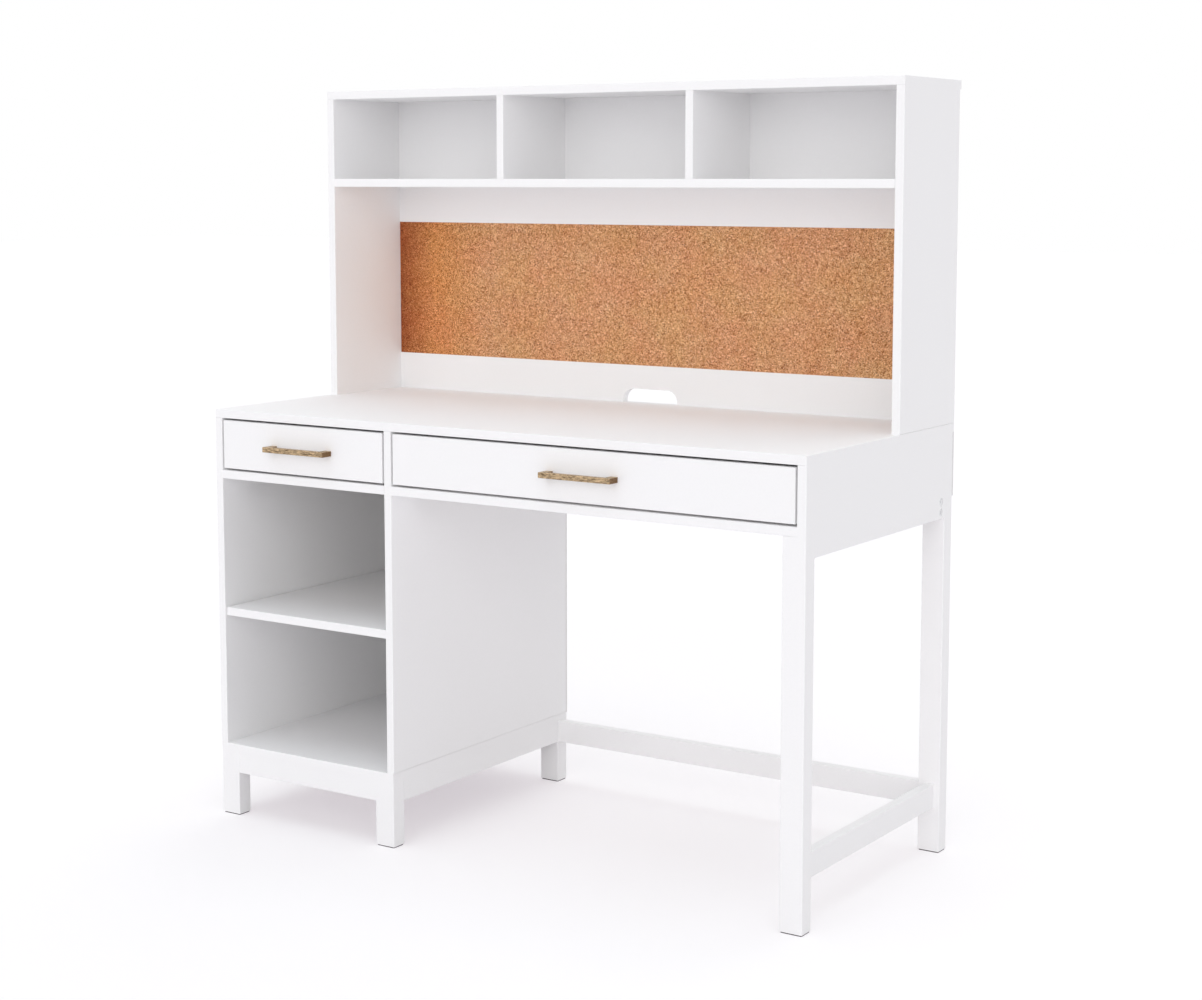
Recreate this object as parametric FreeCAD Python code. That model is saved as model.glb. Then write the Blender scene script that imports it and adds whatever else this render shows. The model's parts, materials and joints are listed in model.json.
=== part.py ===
import FreeCAD, Part
import os
from FreeCAD import Vector

# Student desk with a hutch: a shelf pedestal on the left, a two-legged kneehole on the
# right, two inset drawers under the top, and a hutch with cubbies and a cork board.
# Millimetres. +X right, +Y to the back, +Z up. The origin is on the floor, at the centre
# of the overall footprint, drawer pulls and hutch top included.

# ---------------------------------------------------------------- driving dimensions
# overall
WIDTH = 1230.0              # outer face to outer face
CASE_DEPTH = 543.0          # front face to the back of the thin back panels
DESK_HEIGHT = 762.0
TOTAL_HEIGHT = 1352.0
PANEL = 15.5                # painted board
BACK_BOARD = 4.0            # thin back panels
EASE = 1.0                  # rounding of the visible board edges
SHADOW_GAP_DEPTH = 2.0      # grooves along the outer lower edges of the upright panels
SHADOW_GAP_ON_BASE = 1.6    # their height on the base, which stands back under them
SHADOW_GAP_ON_TOP = 0.4     # their height on the desk top, which lies flush with them

# pedestal
PEDESTAL_OPENING = 382.0    # clear width between left and middle panels
FLOOR_TOP = 135.5
SHELF_TOP = 392.5
SHELF_SETBACK = 4.0         # front edge behind the panels' edges
SHELF_CLEARANCE = 1.0       # at each end
SHELF_BACK_GAP = 2.0        # to the thin back
SHELF_PIN = 5.0
SHELF_PIN_IN = 8.0          # inside the panel
SHELF_PIN_OUT = 9.0         # under the shelf
SHELF_PIN_FROM_EDGE = 50.0  # along the shelf's ends

# base frame under the pedestal
BASE_INSET = 1.5            # sides of the base behind the panels' outer faces
BASE_RAIL_BOTTOM = 81.0
BASE_RAIL_THICKNESS = 20.0
BASE_FRONT_RAIL_SETBACK = 1.0

# legs and feet, all of one section
LEG_WIDTH = 41.0            # along X
LEG_DEPTH = 30.0            # along Y
LEG_EASE = 1.5
GLIDE_HEIGHT = 1.5          # pads under the legs and feet
GLIDE_MARGIN = 1.5          # pad edge inside the leg's sides
GLIDE_CORNER = 2.0

# side frame and stretchers on the right
SIDE_APRON_DROP = 35.5      # below the front rails
STRETCHER_HEIGHT = 42.0
STRETCHER_THICKNESS = 18.0

# drawer storey
DRAWER_OPENING = 96.5       # clear height under the top
FRONT_RAIL_DEPTH = 70.0
DRAWER_GAP = 4.0            # around each inset front
BOX_SIDE = 12.0             # board of the drawer box
BOX_LENGTH = 430.0
BOX_HEIGHT = 72.0
BOX_LIFT = 4.0              # box bottom above the front's bottom edge
BOX_BOTTOM = 5.0            # bottom board
BOX_BOTTOM_LIFT = 10.0      # bottom board above the box's lower edge
BOX_GROOVE = 5.0            # depth of the groove the bottom board sits in

# telescopic runners, one pair per drawer
RUNNER_WIDTH = 12.7         # wall to drawer side
RUNNER_HEIGHT = 45.0
RUNNER_LENGTH = 400.0
RUNNER_STEEL = 1.2
RUNNER_PLAY = 0.35          # between nested members
RUNNER_SETBACK = 2.5        # front end behind the drawer front's back face
RUNNER_LIP = 1.5            # what each member's flange ends short of the next web

# drawer pulls
PULL_LENGTH = 142.0
PULL_CENTRES = 128.0        # screw to screw
PULL_BAR_HEIGHT = 9.5
PULL_BAR_DEPTH = 9.0
PULL_PROJECTION = 24.0
PULL_EASE = 0.8
PULL_SCREW = 4.0            # thread diameter
PULL_SCREW_GRIP = 10.0      # thread inside the post
PULL_SCREW_HEAD = 8.0
PULL_SCREW_HEAD_HEIGHT = 2.5

# hutch
HUTCH_DEPTH = 217.0         # front edge to the desk's back face
HUTCH_TOP_OVERHANG = 6.0    # behind the hutch sides
CUBBY_HEIGHT = 152.5
DIVIDER_PITCH = 406.0       # first divider's right face from the left side; then divider to divider
CORK_MARGIN = 71.0          # white band under and over the cork
CORK_THICKNESS = 6.0
CORK_SINK = 0.5             # cork face behind the panel face
CABLE_SLOT_WIDTH = 120.0
CABLE_SLOT_HEIGHT = 26.0
CABLE_SLOT_CORNER = 22.0

# fasteners
DOWEL = 8.0
DOWEL_LENGTH = 30.0
DOWEL_SHORT_END = 10.0      # what sits in the thinner face
DESK_DOWEL_INSET = 40.0     # from the case's front and back
HUTCH_DOWEL_INSET = 60.0    # from the hutch's front and back
SHELF_DOWEL_INSET = 35.0
APRON_DOWEL_PITCH = 82.0
APRON_BACK_DOWEL_LIFT = 16.0  # keeps the back pair clear of the leg bolts
CAM = 15.0
CAM_DEPTH = 12.5
CAM_FROM_JOINT = 20.0       # cam axis below the joint
CAM_INSET = 100.0           # from the case's front and back
CAM_BOLT = 6.0
CAM_BOLT_GRIP = 10.5        # inside the desk top
CAM_BOLT_IN_CAM = 3.0       # inside the cam, below its rim
CAM_NUT_LENGTH = 12.5
CAM_NUT_SINK = 1.0          # nut face below the board face
CAM_NUT_FROM_LEG = 13.5     # nut axis in front of the back leg
CAM_NUT_PITCH = 18.0
CAM_NUT_FROM_EDGE = 3.5     # lower nut's rim above the apron's lower edge
LEG_BOLT = 6.0
LEG_BOLT_HEAD = 12.0
LEG_BOLT_HEAD_HEIGHT = 3.5
BACK_SCREW = 3.0
BACK_SCREW_LENGTH = 14.0
BACK_SCREW_HEAD = 7.0
BACK_SCREW_HEAD_HEIGHT = 1.4
BACK_SCREW_MARGIN = 25.0
BACK_SCREW_ROW = 5          # screws along each edge
PLATE_WIDTH = 40.0
PLATE_HEIGHT = 48.0
PLATE_STEEL = 2.0
PLATE_CORNER = 4.0
PLATE_SCREW_SPACING = 24.0
PLATE_X = 440.0             # plates left and right of the centre

# ---------------------------------------------------------------- worked-out places
LEFT = -WIDTH / 2
RIGHT = WIDTH / 2
FRONT = -(CASE_DEPTH + HUTCH_TOP_OVERHANG - PULL_PROJECTION) / 2
BACK = FRONT + CASE_DEPTH
PANEL_BACK = BACK - BACK_BOARD
LEFT_IN = LEFT + PANEL
MIDDLE_L = LEFT_IN + PEDESTAL_OPENING
MIDDLE_R = MIDDLE_L + PANEL
RIGHT_IN = RIGHT - PANEL
TOP_UNDER = DESK_HEIGHT - PANEL
RAIL_TOP = TOP_UNDER - DRAWER_OPENING
RAIL_BOTTOM = RAIL_TOP - PANEL
SIDE_APRON_BOTTOM = RAIL_BOTTOM - SIDE_APRON_DROP
BASE_L = LEFT + BASE_INSET
BASE_R = MIDDLE_R - BASE_INSET
BASE_TOP = FLOOR_TOP - PANEL
FRONT_LEG_BACK = FRONT + LEG_DEPTH
BACK_LEG_FRONT = PANEL_BACK - LEG_DEPTH
BACK_FOOT_FRONT = BACK - LEG_DEPTH
LEG_IN = RIGHT - LEG_WIDTH
LEG_MIDDLE_X = RIGHT - LEG_WIDTH / 2
BACK_LEG_MIDDLE_Y = PANEL_BACK - LEG_DEPTH / 2
STRETCHER_TOP = BASE_RAIL_BOTTOM + STRETCHER_HEIGHT
APRON_FRONT = PANEL_BACK - PANEL
FRONT_BOTTOM = RAIL_TOP + DRAWER_GAP
FRONT_TOP = TOP_UNDER - DRAWER_GAP
FRONT_BACK = FRONT + PANEL
BOX_Z0 = FRONT_BOTTOM + BOX_LIFT
BOX_Z1 = BOX_Z0 + BOX_HEIGHT
BOX_BACK = FRONT_BACK + BOX_LENGTH
BOTTOM_Z0 = BOX_Z0 + BOX_BOTTOM_LIFT
BOTTOM_Z1 = BOTTOM_Z0 + BOX_BOTTOM
RUNNER_Z = (BOX_Z0 + BOX_Z1) / 2
RUNNER_Y0 = FRONT_BACK + RUNNER_SETBACK
RUNNER_Y1 = RUNNER_Y0 + RUNNER_LENGTH
PULL_Z = (FRONT_BOTTOM + FRONT_TOP) / 2
HUTCH_Y = BACK - HUTCH_DEPTH
HUTCH_BACK_FRONT = BACK - PANEL
HUTCH_TOP_UNDER = TOTAL_HEIGHT - PANEL
HUTCH_SHELF_TOP = HUTCH_TOP_UNDER - CUBBY_HEIGHT
HUTCH_SHELF_UNDER = HUTCH_SHELF_TOP - PANEL
CORK_Z0 = DESK_HEIGHT + CORK_MARGIN
CORK_Z1 = HUTCH_SHELF_UNDER - CORK_MARGIN
DIVIDERS = [LEFT_IN + (i + 1) * DIVIDER_PITCH - PANEL for i in range(2)]

X_AXIS = Vector(1, 0, 0)
Y_AXIS = Vector(0, 1, 0)
Z_AXIS = Vector(0, 0, 1)
SMALL = 1e-4
LEG_EDGES = "FL FR BL BR FD BD LD RD"

parts = {}


# ---------------------------------------------------------------- helpers
def board(x, y, z, eased="", radius=EASE):
    """A rectangular board from three (low, high) spans.

    eased names the edges to round, each by the two faces it joins:
    L left, R right, F front, B back, T top, D down."""
    solid = Part.makeBox(x[1] - x[0], y[1] - y[0], z[1] - z[0], Vector(x[0], y[0], z[0]))
    planes = {"L": (0, x[0]), "R": (0, x[1]), "F": (1, y[0]), "B": (1, y[1]), "D": (2, z[0]), "T": (2, z[1])}
    picked = []
    for name in eased.split():
        sides = [planes[letter] for letter in name]
        picked += [edge for edge in solid.Edges if lies_on(edge, sides)]
    if not picked:
        return solid
    return solid.makeFillet(radius, picked)


def lies_on(edge, sides):
    for vertex in edge.Vertexes:
        point = (vertex.X, vertex.Y, vertex.Z)
        if any(abs(point[axis] - place) > SMALL for axis, place in sides):
            return False
    return True


def rod(diameter, start, length, axis):
    return Part.makeCylinder(diameter / 2, length, Vector(*start), axis)


def add(name, *solids):
    parts[name] = list(solids)


def sink(fasteners, hosts):
    """Cut the fasteners' own shapes out of each host piece that they enter."""
    for host in hosts:
        kept = []
        for solid in parts[host]:
            near = [f for f in fasteners if f.BoundBox.intersect(solid.BoundBox)]
            if near:
                solid = solid.cut(near).Solids[0]
            kept.append(solid)
        parts[host] = kept


# ---------------------------------------------------------------- case
def make_case():
    add("desk_top", board((LEFT, RIGHT), (FRONT, BACK), (TOP_UNDER, DESK_HEIGHT), "FT FL FR LT RT BT FD"))
    upright = (FLOOR_TOP, TOP_UNDER)
    depth = (FRONT, PANEL_BACK)
    add("left_side_panel", board((LEFT, LEFT_IN), depth, upright, "FL FR"))
    add("middle_panel", board((MIDDLE_L, MIDDLE_R), depth, upright, "FL FR"))
    add("side_apron", board((RIGHT_IN, RIGHT), (FRONT_LEG_BACK, BACK_LEG_FRONT),
                            (SIDE_APRON_BOTTOM, TOP_UNDER), "RD LD"))
    rail = (RAIL_BOTTOM, RAIL_TOP)
    rail_depth = (FRONT, FRONT + FRONT_RAIL_DEPTH)
    add("pedestal_front_rail", board((LEFT_IN, MIDDLE_L), rail_depth, rail, "FT FD"))
    add("kneehole_front_rail", board((MIDDLE_R, RIGHT_IN), rail_depth, rail, "FT FD"))
    add("kneehole_back_apron", board((MIDDLE_R, LEG_IN), (APRON_FRONT, PANEL_BACK),
                                     (RAIL_BOTTOM, TOP_UNDER), "FD"))
    add("pedestal_back_panel", board((LEFT, MIDDLE_R), (PANEL_BACK, BACK), upright))
    add("kneehole_back_panel", board((MIDDLE_R, RIGHT), (PANEL_BACK, BACK), (RAIL_BOTTOM, TOP_UNDER)))


def make_shelf():
    span = (LEFT_IN + SHELF_CLEARANCE, MIDDLE_L - SHELF_CLEARANCE)
    depth = (FRONT + SHELF_SETBACK, PANEL_BACK - SHELF_BACK_GAP)
    under = SHELF_TOP - PANEL
    add("pedestal_shelf", board(span, depth, (under, SHELF_TOP), "FT FD"))
    pins = []
    length = SHELF_PIN_IN + SHELF_PIN_OUT
    for y in (depth[0] + SHELF_PIN_FROM_EDGE, depth[1] - SHELF_PIN_FROM_EDGE):
        for x in (LEFT_IN - SHELF_PIN_IN, MIDDLE_L - SHELF_PIN_OUT):
            pins.append(rod(SHELF_PIN, (x, y, under - SHELF_PIN / 2), length, X_AXIS))
    add("shelf_pins", *pins)
    sink(pins, ["left_side_panel", "middle_panel"])


def make_base():
    add("pedestal_floor", board((BASE_L, BASE_R), (FRONT, BACK), (BASE_TOP, FLOOR_TOP), "FT"))
    upright = (GLIDE_HEIGHT, BASE_TOP)
    left = (BASE_L, BASE_L + LEG_WIDTH)
    right = (BASE_R - LEG_WIDTH, BASE_R)
    front = (FRONT, FRONT_LEG_BACK)
    back = (BACK_FOOT_FRONT, BACK)
    add("foot_front_left", board(left, front, upright, LEG_EDGES, LEG_EASE))
    add("foot_front_right", board(right, front, upright, LEG_EDGES, LEG_EASE))
    add("foot_back_left", board(left, back, upright, LEG_EDGES, LEG_EASE))
    add("foot_back_right", board(right, back, upright, LEG_EDGES, LEG_EASE))
    rail = (BASE_RAIL_BOTTOM, BASE_TOP)
    between = (left[1], right[0])
    rail_front = FRONT + BASE_FRONT_RAIL_SETBACK
    add("base_front_rail", board(between, (rail_front, rail_front + BASE_RAIL_THICKNESS), rail, "FD"))
    add("base_back_rail", board(between, (BACK - BASE_RAIL_THICKNESS, BACK), rail, "BD"))
    along = (front[1], back[0])
    add("base_left_rail", board((BASE_L, BASE_L + BASE_RAIL_THICKNESS), along, rail, "LD"))
    add("base_right_rail", board((BASE_R - BASE_RAIL_THICKNESS, BASE_R), along, rail, "RD"))


def square_corner(leg, y):
    """Fill the leg's eased outer corner over the span y, where the side apron lies flush with it."""
    corner = board((RIGHT - LEG_EASE, RIGHT), y, (SIDE_APRON_BOTTOM, TOP_UNDER))
    return leg.fuse(corner).removeSplitter().Solids[0]


def make_leg_frame():
    across = (LEG_IN, RIGHT)
    upright = (GLIDE_HEIGHT, TOP_UNDER)
    front_leg = board(across, (FRONT, FRONT_LEG_BACK), upright, LEG_EDGES, LEG_EASE)
    back_leg = board(across, (BACK_LEG_FRONT, PANEL_BACK), upright, LEG_EDGES, LEG_EASE)
    notch = board((LEG_IN - PANEL, RIGHT_IN), (FRONT - PANEL, FRONT_LEG_BACK + PANEL),
                  (RAIL_BOTTOM, DESK_HEIGHT))
    add("front_leg", square_corner(front_leg, (FRONT_LEG_BACK - LEG_EASE, FRONT_LEG_BACK)).cut(notch))
    add("back_leg", square_corner(back_leg, (BACK_LEG_FRONT, BACK_LEG_FRONT + LEG_EASE)))
    rise = (BASE_RAIL_BOTTOM, STRETCHER_TOP)
    half = STRETCHER_THICKNESS / 2
    add("side_stretcher", board((LEG_MIDDLE_X - half, LEG_MIDDLE_X + half), (FRONT_LEG_BACK, BACK_LEG_FRONT),
                                rise, "LT RT LD RD"))
    add("back_stretcher", board((BASE_R, LEG_IN), (BACK_LEG_MIDDLE_Y - half, BACK_LEG_MIDDLE_Y + half),
                                rise, "FT BT FD BD"))


def make_glides():
    feet = ["foot_front_left", "foot_front_right", "foot_back_left", "foot_back_right",
            "front_leg", "back_leg"]
    glides = []
    for name in feet:
        box = parts[name][0].BoundBox
        x = (box.XMax - LEG_WIDTH + GLIDE_MARGIN, box.XMax - GLIDE_MARGIN)
        y = (box.YMin + GLIDE_MARGIN, box.YMax - GLIDE_MARGIN)
        glides.append(board(x, y, (0, GLIDE_HEIGHT), "FL FR BL BR", GLIDE_CORNER))
    add("floor_glides", *glides)


# ---------------------------------------------------------------- drawers
def runner_channel(wall_x, inward, start, end, height):
    """One C-shaped runner member: a web at start and flanges that reach to end.

    start and end are distances from the wall; inward is +1 or -1 along X."""
    toward_end = 1 if end > start else -1
    web_far = start + toward_end * RUNNER_STEEL
    length = (RUNNER_Y0, RUNNER_Y1)

    def block(near, far, low, high):
        xs = sorted((wall_x + inward * near, wall_x + inward * far))
        return board(xs, length, (RUNNER_Z + low, RUNNER_Z + high))

    half = height / 2
    channel = block(start, web_far, -half, half)
    for low, high in ((-half, RUNNER_STEEL - half), (half - RUNNER_STEEL, half)):
        channel = channel.fuse(block(start, end, low, high))
    return channel.removeSplitter().Solids[0]


def runner_members(wall_x, inward):
    """Outer, middle and inner members of one runner on the wall at wall_x."""
    step = 2 * (RUNNER_STEEL + RUNNER_PLAY)
    middle_web = RUNNER_STEEL + RUNNER_PLAY
    middle_end = RUNNER_WIDTH - RUNNER_STEEL - RUNNER_PLAY
    outer_end = middle_end - RUNNER_LIP
    inner_end = middle_web + RUNNER_STEEL + RUNNER_LIP
    outer = runner_channel(wall_x, inward, 0, outer_end, RUNNER_HEIGHT)
    middle = runner_channel(wall_x, inward, middle_web, middle_end, RUNNER_HEIGHT - step)
    inner = runner_channel(wall_x, inward, RUNNER_WIDTH, inner_end, RUNNER_HEIGHT - 2 * step)
    return outer, middle, inner


def make_drawer(name, opening):
    """One drawer in its opening, an (inner left, inner right) span; returns its outer runner members."""
    front_span = (opening[0] + DRAWER_GAP, opening[1] - DRAWER_GAP)
    front = board(front_span, (FRONT, FRONT_BACK), (FRONT_BOTTOM, FRONT_TOP), "FL FR FT FD")
    outer_l = opening[0] + RUNNER_WIDTH
    outer_r = opening[1] - RUNNER_WIDTH
    inner_l = outer_l + BOX_SIDE
    inner_r = outer_r - BOX_SIDE
    length = (FRONT_BACK, BOX_BACK)
    rise = (BOX_Z0, BOX_Z1)
    bottom = board((inner_l - BOX_GROOVE, inner_r + BOX_GROOVE), (FRONT_BACK - BOX_GROOVE, BOX_BACK),
                   (BOTTOM_Z0, BOTTOM_Z1))
    sides = [board(span, length, rise, "LT RT") for span in ((outer_l, inner_l), (inner_r, outer_r))]
    add(name + "_front", front.cut(bottom))
    add(name + "_sides", *[side.cut(bottom) for side in sides])
    add(name + "_back", board((inner_l, inner_r), (BOX_BACK - BOX_SIDE, BOX_BACK), (BOTTOM_Z1, BOX_Z1),
                              "FT BT"))
    add(name + "_bottom", bottom)
    make_pull(name, (opening[0] + opening[1]) / 2)
    left = runner_members(opening[0], 1)
    right = runner_members(opening[1], -1)
    add(name + "_runner_middle", left[1], right[1])
    add(name + "_runner_inner", left[2], right[2])
    return [left[0], right[0]]


def make_pull(name, centre_x):
    low = PULL_Z - PULL_BAR_HEIGHT / 2
    high = PULL_Z + PULL_BAR_HEIGHT / 2
    face_y = FRONT - PULL_PROJECTION
    half = PULL_LENGTH / 2
    post = PULL_LENGTH - PULL_CENTRES
    pull = board((centre_x - half, centre_x + half), (face_y, FRONT), (low, high),
                 "FL FR FT FD LT LD RT RD", PULL_EASE)
    gap = board((centre_x - half + post, centre_x + half - post), (face_y + PULL_BAR_DEPTH, FRONT + PANEL),
                (low - PANEL, high + PANEL), "FL FR", PULL_EASE)
    add(name + "_pull", pull.cut(gap))
    screws = []
    for side in (-1, 1):
        x = centre_x + side * PULL_CENTRES / 2
        shank = rod(PULL_SCREW, (x, FRONT - PULL_SCREW_GRIP, PULL_Z), PULL_SCREW_GRIP + PANEL, Y_AXIS)
        head = rod(PULL_SCREW_HEAD, (x, FRONT_BACK, PULL_Z), PULL_SCREW_HEAD_HEIGHT, Y_AXIS)
        screws.append(shank.fuse(head).removeSplitter().Solids[0])
    add(name + "_pull_screws", *screws)
    sink(screws, [name + "_pull", name + "_front"])


def make_drawers():
    outer = make_drawer("small_drawer", (LEFT_IN, MIDDLE_L))
    outer += make_drawer("wide_drawer", (MIDDLE_R, RIGHT_IN))
    add("runner_outer_members", *outer)


# ---------------------------------------------------------------- hutch
def make_hutch():
    side_depth = (HUTCH_Y, BACK)
    upright = (DESK_HEIGHT, HUTCH_TOP_UNDER)
    add("hutch_left_panel", board((LEFT, LEFT_IN), side_depth, upright, "FL FR"))
    add("hutch_right_panel", board((RIGHT_IN, RIGHT), side_depth, upright, "FL FR"))
    add("hutch_top", board((LEFT, RIGHT), (HUTCH_Y, BACK + HUTCH_TOP_OVERHANG),
                           (HUTCH_TOP_UNDER, TOTAL_HEIGHT), "FT FL FR LT RT BT BL BR FD"))
    inside = (HUTCH_Y, HUTCH_BACK_FRONT)
    add("hutch_shelf", board((LEFT_IN, RIGHT_IN), inside, (HUTCH_SHELF_UNDER, HUTCH_SHELF_TOP), "FT FD"))
    for name, x in zip(("left_cubby_divider", "right_cubby_divider"), DIVIDERS):
        add(name, board((x, x + PANEL), inside, (HUTCH_SHELF_TOP, HUTCH_TOP_UNDER), "FL FR"))
    make_hutch_back(upright)


def make_hutch_back(upright):
    back = board((LEFT_IN, RIGHT_IN), (HUTCH_BACK_FRONT, BACK), upright)
    recess = CORK_SINK + CORK_THICKNESS
    seat = board((LEFT_IN, RIGHT_IN), (HUTCH_BACK_FRONT, HUTCH_BACK_FRONT + recess), (CORK_Z0, CORK_Z1))
    half = CABLE_SLOT_WIDTH / 2
    slot_rise = (DESK_HEIGHT - CABLE_SLOT_HEIGHT, DESK_HEIGHT + CABLE_SLOT_HEIGHT)
    through = (HUTCH_BACK_FRONT - PANEL, BACK + PANEL)
    slot = board((-half, half), through, slot_rise, "LT RT", CABLE_SLOT_CORNER)
    add("hutch_back_panel", back.cut(seat).cut(slot))
    cork_depth = (HUTCH_BACK_FRONT + CORK_SINK, HUTCH_BACK_FRONT + recess)
    add("cork_board", board((LEFT_IN, RIGHT_IN), cork_depth, (CORK_Z0, CORK_Z1)))


def make_shadow_gaps():
    """A fine groove where the outer face of each upright panel meets what the panel stands on."""
    panels = [("left_side_panel", LEFT, SHADOW_GAP_ON_BASE), ("middle_panel", MIDDLE_R, SHADOW_GAP_ON_BASE),
              ("hutch_left_panel", LEFT, SHADOW_GAP_ON_TOP), ("hutch_right_panel", RIGHT, SHADOW_GAP_ON_TOP)]
    for name, outer, height in panels:
        panel = parts[name][0]
        box = panel.BoundBox
        inward = 1 if box.Center.x > outer else -1
        x = sorted((outer, outer + inward * SHADOW_GAP_DEPTH))
        groove = board(x, (box.YMin, box.YMax), (box.ZMin, box.ZMin + height))
        parts[name] = panel.cut(groove).Solids


# ---------------------------------------------------------------- fasteners
def dowel_at(point, axis, into):
    """A dowel through the joint face at point; its short end points along axis when into is +1."""
    start = Vector(*point) - axis * (DOWEL_LENGTH - DOWEL_SHORT_END if into > 0 else DOWEL_SHORT_END)
    return Part.makeCylinder(DOWEL / 2, DOWEL_LENGTH, start, axis)


def upright_dowels():
    """Dowels on vertical axes: tops on their panels, the hutch on the desk, dividers on their shelf."""
    made = []
    panels = [(LEFT + LEFT_IN) / 2, (MIDDLE_L + MIDDLE_R) / 2, (RIGHT + RIGHT_IN) / 2]
    for x in panels:
        for y in (FRONT + DESK_DOWEL_INSET, PANEL_BACK - DESK_DOWEL_INSET):
            made.append(dowel_at((x, y, TOP_UNDER), Z_AXIS, 1))
    hutch_ys = (HUTCH_Y + HUTCH_DOWEL_INSET, HUTCH_BACK_FRONT - HUTCH_DOWEL_INSET)
    for x in (panels[0], panels[2]):
        for y in hutch_ys:
            made.append(dowel_at((x, y, DESK_HEIGHT), Z_AXIS, -1))
            made.append(dowel_at((x, y, HUTCH_TOP_UNDER), Z_AXIS, 1))
    for left in DIVIDERS:
        for y in hutch_ys:
            made.append(dowel_at((left + PANEL / 2, y, HUTCH_SHELF_TOP), Z_AXIS, -1))
            made.append(dowel_at((left + PANEL / 2, y, HUTCH_TOP_UNDER), Z_AXIS, 1))
    return made


def sideways_dowels():
    """Dowels along X: front rails, hutch shelf and back stretcher on what carries their ends."""
    made = []
    rail_z = (RAIL_BOTTOM + RAIL_TOP) / 2
    quarter = FRONT_RAIL_DEPTH / 4
    ends = [(LEFT_IN, -1, 1), (MIDDLE_L, 1, 1), (MIDDLE_R, -1, 3), (RIGHT_IN, 1, 1)]
    for x, into, quarters in ends:
        made.append(dowel_at((x, FRONT + quarters * quarter, rail_z), X_AXIS, into))
    shelf_z = (HUTCH_SHELF_UNDER + HUTCH_SHELF_TOP) / 2
    for x, into in ((LEFT_IN, -1), (RIGHT_IN, 1)):
        for y in (HUTCH_Y + SHELF_DOWEL_INSET, HUTCH_BACK_FRONT - SHELF_DOWEL_INSET):
            made.append(dowel_at((x, y, shelf_z), X_AXIS, into))
    stretcher_z = (BASE_RAIL_BOTTOM + STRETCHER_TOP) / 2
    for x, into in ((BASE_R, -1), (LEG_IN, 1)):
        made.append(dowel_at((x, BACK_LEG_MIDDLE_Y, stretcher_z), X_AXIS, into))
    base_z = (BASE_RAIL_BOTTOM + BASE_TOP) / 2
    front_y = FRONT + BASE_FRONT_RAIL_SETBACK + BASE_RAIL_THICKNESS / 2
    for y in (front_y, BACK - BASE_RAIL_THICKNESS / 2):
        made.append(dowel_at((BASE_L + LEG_WIDTH, y, base_z), X_AXIS, -1))
        made.append(dowel_at((BASE_R - LEG_WIDTH, y, base_z), X_AXIS, 1))
    return made


def lengthwise_dowels():
    """Dowels along Y: side apron and side stretcher on the front leg, base side rails on their feet."""
    made = []
    apron_x = (RIGHT + RIGHT_IN) / 2
    apron_middle = (SIDE_APRON_BOTTOM + TOP_UNDER) / 2
    for z in (apron_middle - APRON_DOWEL_PITCH / 2, apron_middle + APRON_DOWEL_PITCH / 2):
        made.append(dowel_at((apron_x, FRONT_LEG_BACK, z), Y_AXIS, -1))
        made.append(dowel_at((apron_x, BACK_LEG_FRONT, z + APRON_BACK_DOWEL_LIFT), Y_AXIS, 1))
    made.append(dowel_at((LEG_MIDDLE_X, FRONT_LEG_BACK, (BASE_RAIL_BOTTOM + STRETCHER_TOP) / 2), Y_AXIS, -1))
    base_z = BASE_TOP - DOWEL
    for x in (BASE_L + BASE_RAIL_THICKNESS / 2, BASE_R - BASE_RAIL_THICKNESS / 2):
        made.append(dowel_at((x, FRONT_LEG_BACK, base_z), Y_AXIS, -1))
        made.append(dowel_at((x, BACK_FOOT_FRONT, base_z), Y_AXIS, 1))
    return made


def make_dowels():
    dowels = upright_dowels() + sideways_dowels() + lengthwise_dowels()
    add("dowels", *dowels)
    case = ["desk_top", "left_side_panel", "middle_panel", "side_apron", "pedestal_front_rail",
            "kneehole_front_rail"]
    base = ["foot_front_left", "foot_front_right", "foot_back_left", "foot_back_right",
            "base_front_rail", "base_back_rail", "base_left_rail", "base_right_rail"]
    leg_frame = ["front_leg", "back_leg", "side_stretcher", "back_stretcher"]
    hutch = ["hutch_left_panel", "hutch_right_panel", "hutch_top", "hutch_shelf",
             "left_cubby_divider", "right_cubby_divider"]
    sink(dowels, case + base + leg_frame + hutch)


def make_cams():
    """Cam locks in the panels' faces that pull the desk top down by bolts in the panels' top edges."""
    cams = []
    bolts = []
    cam_z = TOP_UNDER - CAM_FROM_JOINT
    bolt_foot = cam_z + CAM / 2 - CAM_BOLT_IN_CAM
    faces = [(LEFT_IN, -1, (LEFT + LEFT_IN) / 2), (MIDDLE_R, -1, (MIDDLE_L + MIDDLE_R) / 2),
             (RIGHT_IN, 1, (RIGHT + RIGHT_IN) / 2)]
    for face_x, into, middle_x in faces:
        for y in (FRONT + CAM_INSET, PANEL_BACK - CAM_INSET):
            start_x = face_x if into > 0 else face_x - CAM_DEPTH
            cams.append(rod(CAM, (start_x, y, cam_z), CAM_DEPTH, X_AXIS))
            bolt_length = TOP_UNDER + CAM_BOLT_GRIP - bolt_foot
            bolts.append(rod(CAM_BOLT, (middle_x, y, bolt_foot), bolt_length, Z_AXIS))
    add("cam_locks", *cams)
    add("cam_bolts", *bolts)
    hosts = ["left_side_panel", "middle_panel", "side_apron"]
    sink(cams, hosts)
    sink(bolts, hosts + ["desk_top", "cam_locks"])


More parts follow.
